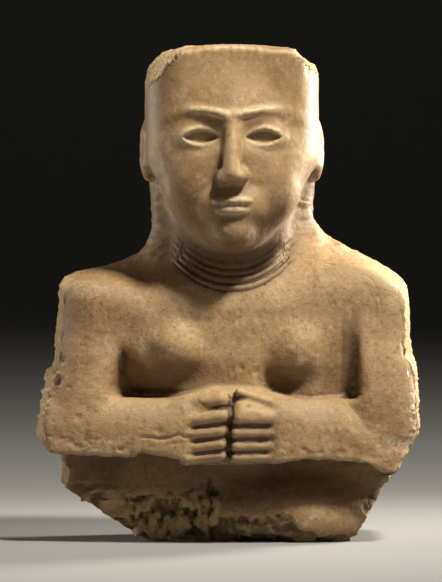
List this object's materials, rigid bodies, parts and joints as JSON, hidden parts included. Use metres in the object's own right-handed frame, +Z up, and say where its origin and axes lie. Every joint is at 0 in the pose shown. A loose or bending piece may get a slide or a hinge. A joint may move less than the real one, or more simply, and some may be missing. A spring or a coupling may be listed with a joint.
{
  "type": "broken half-length stone figure",
  "caption": "Alabaster half figure of a woman with flat-cut crown, hollowed eyes and fists meeting at the waist, broken below and resting on its underside.",
  "frame": {"origin": "on the level foot of the lower break, under the middle of the figure", "axes": "+Z up from the foot to the crown, the figure faces -Y, +X is towards the figure's own left arm"},
  "size_m": [0.2526, 0.1155, 0.33],
  "materials": {
    "alabaster": "honey-coloured alabaster, rubbed smooth on the head, worn and pitted on the body, rough where it is broken"
  },
  "bodies": {
    "root": {"half_figure": "alabaster"}
  },
  "joints": []
}
